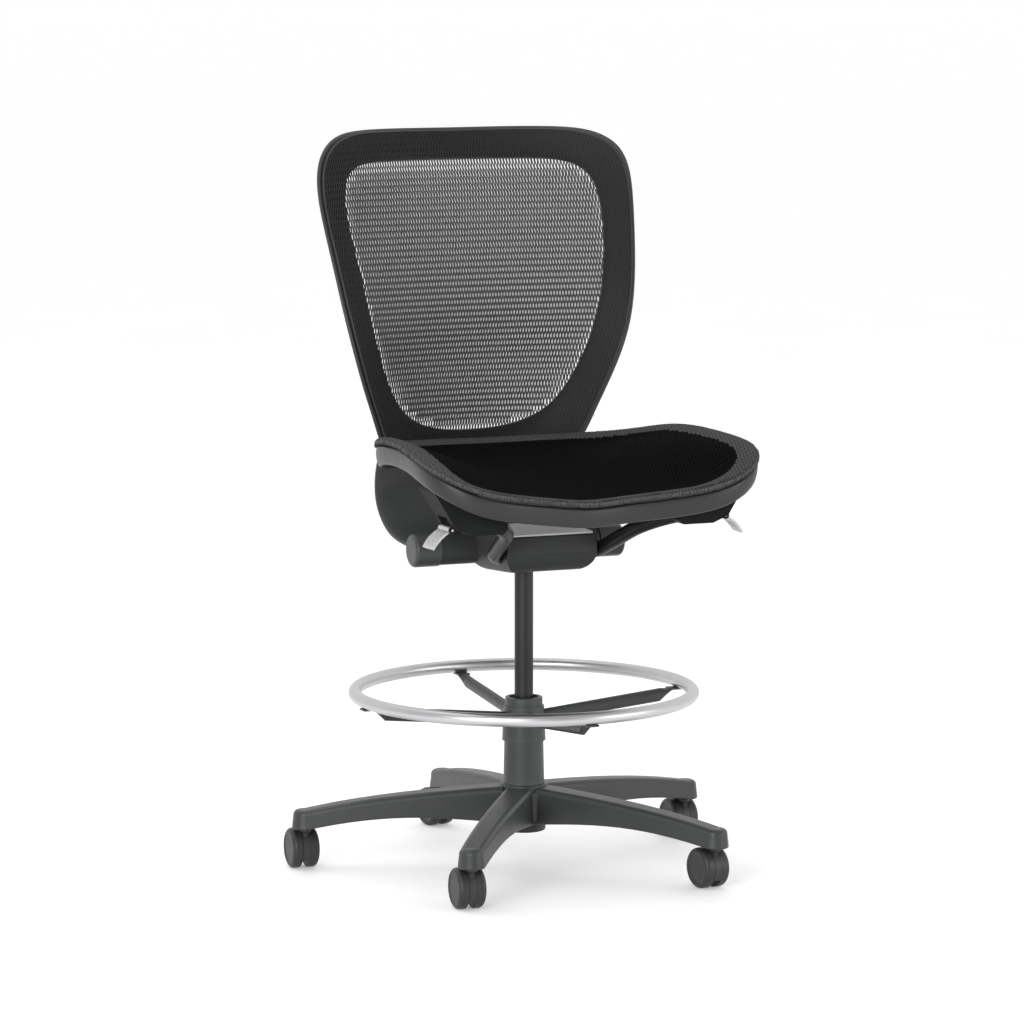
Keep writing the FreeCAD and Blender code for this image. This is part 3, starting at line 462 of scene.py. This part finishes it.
STRAND_STEP = 0.012        # between points along a strand
STRAND_TUCK = 0.003        # how far a strand runs on behind the ring
STRAND_LIFT = 0.0006
STRAND_WIDTH = 0.0009
STRAND_THICK = 0.0003

UNDER_DROP = 0.0008        # below the panel's surface
UNDER_TUCK = 0.004         # how far the layer runs on past the opening
UNDER_LIFT = 0.0003        # over the ring's surface
UNDER_RINGS = 24
UNDER_TURNS = EDGE_STEPS // 4
UNDER_THICK = 0.0004


def net_cells(width, height):
    """Hexagonal cells in staggered rows that cover a width by height field about 0, 0.

    Each cell is six corners (column, row, across, up). Neighbours have corners in common.
    """
    across = int(width / PITCH) + 2
    rows = int(height / ROW) + 2
    for j in range(-rows // 2, rows // 2 + 1):
        low, high = j * ROW, (j + 1) * ROW
        for i in range(-across // 2, across // 2 + 1):
            x = (i + 0.5 * (j % 2)) * PITCH
            yield ((2 * (i - 0.5) + j % 2, j, x - PITCH / 2, low + ZIG),
                   (2 * i + j % 2, j, x, low - ZIG),
                   (2 * (i + 0.5) + j % 2, j, x + PITCH / 2, low + ZIG),
                   (2 * (i + 0.5) + j % 2, j + 1, x + PITCH / 2, high - ZIG),
                   (2 * i + j % 2, j + 1, x, high + ZIG),
                   (2 * (i - 0.5) + j % 2, j + 1, x - PITCH / 2, high - ZIG))


def tree_of(name):
    """A search tree over one CAD node."""
    mesh = NODES[name].data
    return BVHTree.FromPolygons([v.co.copy() for v in mesh.vertices],
                                [list(p.vertices) for p in mesh.polygons])


def polar(radius, angle):
    return radius * math.cos(angle), radius * math.sin(angle)


def angle_of(step, steps=EDGE_STEPS):
    return 2 * math.pi * step / steps


class Field:
    """A ring and the panel inside it, looked at straight along one direction.

    place(a, b) gives the 3-D start of the ray for the pair (a, b) about the ring's middle.
    outer and inner are tables of the ring's two edges: a radius for each step of angle.
    """

    def __init__(self, ring, panel, place, direction):
        self.ring = tree_of(ring)
        self.panel = tree_of(panel)
        self.place = place
        self.direction = Vector(direction)
        self.outer = [self.outer_edge(angle_of(k)) for k in range(EDGE_STEPS)]
        self.inner = [self.inner_edge(angle_of(k), self.outer[k]) for k in range(EDGE_STEPS)]

    def length(self, tree, a, b):
        """Length of the ray until it meets a tree, or None."""
        return tree.ray_cast(self.place(a, b), self.direction)[3]

    def point(self, a, b, length):
        return self.place(a, b) + self.direction * length

    def on_ring(self, radius, angle):
        return self.length(self.ring, *polar(radius, angle)) is not None

    def outer_edge(self, angle):
        radius = SEARCH_RADIUS
        while not self.on_ring(radius, angle):
            radius -= SEARCH_STEP
        return radius

    def inner_edge(self, angle, radius):
        radius -= INTO_RING
        while self.on_ring(radius, angle):
            radius -= GAP_STEP
        return radius

    def at(self, table, angle):
        """The value of an edge table at any angle."""
        step = (angle / (2 * math.pi)) % 1.0 * EDGE_STEPS
        low = int(step) % EDGE_STEPS
        share = step - int(step)
        return table[low] * (1 - share) + table[(low + 1) % EDGE_STEPS] * share

    def depth(self, a, b):
        """Length of the ray until it meets the panel or the ring, or None."""
        found = [self.length(tree, a, b) for tree in (self.panel, self.ring)]
        return min((length for length in found if length is not None), default=None)


def smoothed(table, rounds):
    for _ in range(rounds):
        table = [(table[k - 1] + 2 * table[k] + table[(k + 1) % len(table)]) / 4
                 for k in range(len(table))]
    return table


def edge_depths(field, radii):
    """Smoothed ray lengths at the given radii, one for each step of angle."""
    depths = [field.depth(*polar(radius, angle_of(k))) for k, radius in enumerate(radii)]
    last = next(value for value in depths if value is not None)
    for k, value in enumerate(depths):
        last = depths[k] = value if value is not None else last
    return smoothed(depths, DEPTH_SMOOTHING)


def finished(name, mesh, look):
    """Adds a mesh to the scene as one smooth shaded piece."""
    mesh.materials.clear()
    mesh.materials.append(look)
    for polygon in mesh.polygons:
        polygon.use_smooth = True
    return linked(name, mesh)


def new_piece(name, points, faces, look):
    mesh = bpy.data.meshes.new(name)
    mesh.from_pydata(points, [], faces)
    return finished(name, mesh, look)


def thicken(piece, name, thickness):
    thick = piece.modifiers.new(name, "SOLIDIFY")
    thick.thickness = thickness
    thick.offset = 0.0


def stretched_depths(field, flat, near, pinned):
    """Ray length for every corner of the net. Slack is taken out, and pinned corners stay."""
    known = dict(pinned)
    for key, (a, b) in flat.items():
        length = None if key in known else field.depth(a, b)
        if length is not None:
            known[key] = length
    missing = sorted(key for key in flat if key not in known)
    while missing:
        for key in missing:
            beside = [known[other] for other in near[key] if other in known]
            if beside:
                known[key] = sum(beside) / len(beside)
        missing = [key for key in missing if key not in known]
    for _ in range(STRETCH_ROUNDS):
        mean = {key: sum(known[other] for other in near[key]) / len(near[key]) for key in known}
        known = {key: pinned.get(key, min(known[key], mean[key])) for key in known}
    return known


def add_holes(points, reach, cells, hole):
    """Adds each cell's hole to points and reach, and returns the faces between hole and cell."""
    faces = []
    for outer in cells:
        middle = sum((points[k] for k in outer), Vector()) / 6
        along = (points[outer[4]] - points[outer[1]]).normalized()
        start = len(points)
        for k in outer:
            out = points[k] - middle
            lengthwise = along * out.dot(along)
            points.append(middle + (out - lengthwise) * hole[0] + lengthwise * hole[1])
            reach.append(reach[k])
        for k in range(6):
            after = (k + 1) % 6
            faces.append((outer[k], outer[after], start + after, start + k))
    return faces


def stretched_net(name, field, cells, hole, trim, drop, thickness, look):
    """Net over the whole field. Cell corners past the trimmed edge are pulled back onto it.

    Its attribute reach says how far each point lies past the opening, on the ring.
    """
    border = smoothed([radius - trim for radius in field.outer], RADIUS_SMOOTHING)
    opening = smoothed(field.inner, RADIUS_SMOOTHING)
    at_rim = edge_depths(field, [radius - RIM_INSET for radius in field.outer])
    rim = [length + drop for length in at_rim]
    kept = [cell for cell in cells
            if any(math.hypot(a, b) < field.at(border, math.atan2(b, a)) - SLIVER
                   for _, _, a, b in cell)]
    flat, near, pinned = {}, {}, {}
    for cell in kept:
        keys = [corner[:2] for corner in cell]
        for key, (_, _, a, b) in zip(keys, cell):
            angle = math.atan2(b, a)
            share = min(1.0, field.at(border, angle) / max(math.hypot(a, b), NO_RADIUS))
            flat[key] = (a * share, b * share)
            if share < 1.0:
                pinned[key] = field.at(rim, angle)
        for one, other in zip(keys, keys[1:] + keys[:1]):
            near.setdefault(one, {})[other] = True
            near.setdefault(other, {})[one] = True
    depths = stretched_depths(field, flat, near, pinned)
    order = {key: number for number, key in enumerate(sorted(flat))}
    points, reach = [], []
    for key in order:
        a, b = flat[key]
        points.append(field.point(a, b, depths[key] - NET_LIFT))
        reach.append(math.hypot(a, b) - field.at(opening, math.atan2(b, a)))
    numbered = [[order[corner[:2]] for corner in cell] for cell in kept]
    faces = add_holes(points, reach, numbered, hole)
    piece = new_piece(name, points, faces, look)
    piece.data.attributes.new("reach", "FLOAT", "POINT").data.foreach_set("value", reach)
    thicken(piece, "yarn", thickness)
    return piece, border, opening


def filler_strands(name, field, opening, look):
    """Flat strands that run up the panel, one through the middle of every hole of the net."""
    verts, faces = [], []
    half = int(max(opening) / (PITCH / 2)) + 1
    steps = int(max(opening) / STRAND_STEP) + 1
    across = (field.place(1.0, 0.0) - field.place(0.0, 0.0)) * (STRAND_WIDTH / 2)
    deep = field.direction * (STRAND_THICK / 2)
    for i in range(-half, half + 1):
        a = i * PITCH / 2
        path = []
        for j in range(-steps, steps + 1):
            b = j * STRAND_STEP
            if math.hypot(a, b) > field.at(opening, math.atan2(b, a)) + STRAND_TUCK:
                continue
            length = field.length(field.panel, a, b)
            if length is not None:
                path.append(field.point(a, b, length - STRAND_LIFT))
        if len(path) < 3:
            continue
        start = len(verts)
        for spot in path:
            verts += [spot - across, spot - deep, spot + across, spot + deep]
        for k in range(len(path) - 1):
            low = start + 4 * k
            for n in range(4):
                after = (n + 1) % 4
                faces.append((low + n, low + after, low + 4 + after, low + 4 + n))
        last = start + 4 * (len(path) - 1)
        faces += [(start, start + 3, start + 2, start + 1), (last, last + 1, last + 2, last + 3)]
    return new_piece(name, verts, faces, look)


def under_sheet(name, field, opening, look):
    """Near-black layer just under the net, drawn as a dense lower layer of the weave and carried a
    little way onto the ring; its black is painted shade seen through the holes.
    """
    centre = field.depth(0.0, 0.0)
    verts, faces = [field.point(0.0, 0.0, centre + UNDER_DROP)], []
    for k in range(UNDER_TURNS):
        angle = angle_of(k, UNDER_TURNS)
        length = centre + UNDER_DROP
        for ring in range(1, UNDER_RINGS + 1):
            radius = (field.at(opening, angle) + UNDER_TUCK) * ring / UNDER_RINGS
            a, b = polar(radius, angle)
            on_panel = field.length(field.panel, a, b)
            on_ring = field.length(field.ring, a, b)
            length = length if on_panel is None else on_panel + UNDER_DROP
            length = length if on_ring is None else on_ring - UNDER_LIFT
            verts.append(field.point(a, b, length))
    for k in range(UNDER_TURNS):
        here, after = (1 + turn % UNDER_TURNS * UNDER_RINGS for turn in (k, k + 1))
        faces.append((0, here, after))
        for n in range(UNDER_RINGS - 1):
            faces.append((here + n, here + n + 1, after + n + 1, after + n))
    piece = new_piece(name, verts, faces, look)
    thicken(piece, "layer", UNDER_THICK)
    return piece


def cord_round(name, field, radii, lift, thick, look):
    """Closed round cord laid on the ring at the given radii."""
    curve = bpy.data.curves.new(name, "CURVE")
    curve.dimensions = "3D"
    curve.bevel_depth = thick
    curve.bevel_resolution = BEZEL_CORD_ROUNDNESS
    line = curve.splines.new("POLY")
    line.points.add(EDGE_STEPS - 1)
    line.use_cyclic_u = True
    depths = edge_depths(field, radii)
    for k, radius in enumerate(radii):
        spot = field.point(*polar(radius, angle_of(k)), depths[k] - lift)
        line.points[k].co = (*spot, 1.0)
    holder = linked(name + "_path", curve)
    bpy.context.view_layer.update()
    graph = bpy.context.evaluated_depsgraph_get()
    mesh = bpy.data.meshes.new_from_object(holder.evaluated_get(graph))
    bpy.data.objects.remove(holder)
    mesh.name = name
    return finished(name, mesh, look)


def back_net(looks):
    """The backrest's mesh: stretched over the opening and wrapped onto the front of its carrier."""
    low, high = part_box("back_carrier")
    middle = (low.z + high.z) / 2
    field = Field("back_carrier", "back_mesh", lambda a, b: Vector((a, -1.0, middle + b)),
                  (0.0, 1.0, 0.0))
    width, height = high.x - low.x, high.z - low.z
    piece, border, opening = stretched_net(
        "back_mesh_weave", field, net_cells(width, height), BACK_HOLE, BACK_TRIM, 0.0, BACK_YARN,
        looks["back_yarn"])
    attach(piece, "back")
    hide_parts("back_mesh")
    cord = cord_round("back_bezel_cord", field, border, BEZEL_CORD_LIFT, BEZEL_CORD_RADIUS,
                      looks["back_yarn"])
    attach(cord, "back")
    strands = filler_strands("back_mesh_strands", field, opening, looks["strand"])
    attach(strands, "back")


def seat_net(looks):
    """The seat's mesh: wrapped over the crown and slung inside it."""
    low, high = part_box("seat_carrier")
    middle = (low.y + high.y) / 2
    field = Field("seat_carrier", "seat_mesh", lambda a, b: Vector((a, middle + b, 1.0)),
                  (0.0, 0.0, -1.0))
    width, height = high.x - low.x, high.y - low.y
    piece, _, opening = stretched_net(
        "seat_mesh_weave", field, net_cells(width, height), SEAT_HOLE, SEAT_TRIM, SEAT_DROP,
        SEAT_YARN, looks["seat_yarn"])
    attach(piece, "upper")
    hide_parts("seat_mesh")
    under = under_sheet("seat_mesh_under_layer", field, opening, looks["under"])
    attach(under, "upper")


# ---------------------------------------------------------------- everything
def build_scene():
    make_camera()
    looks = make_looks()
    make_stage()
    dress_nodes(looks)
    back_net(looks)
    seat_net(looks)


build_scene()
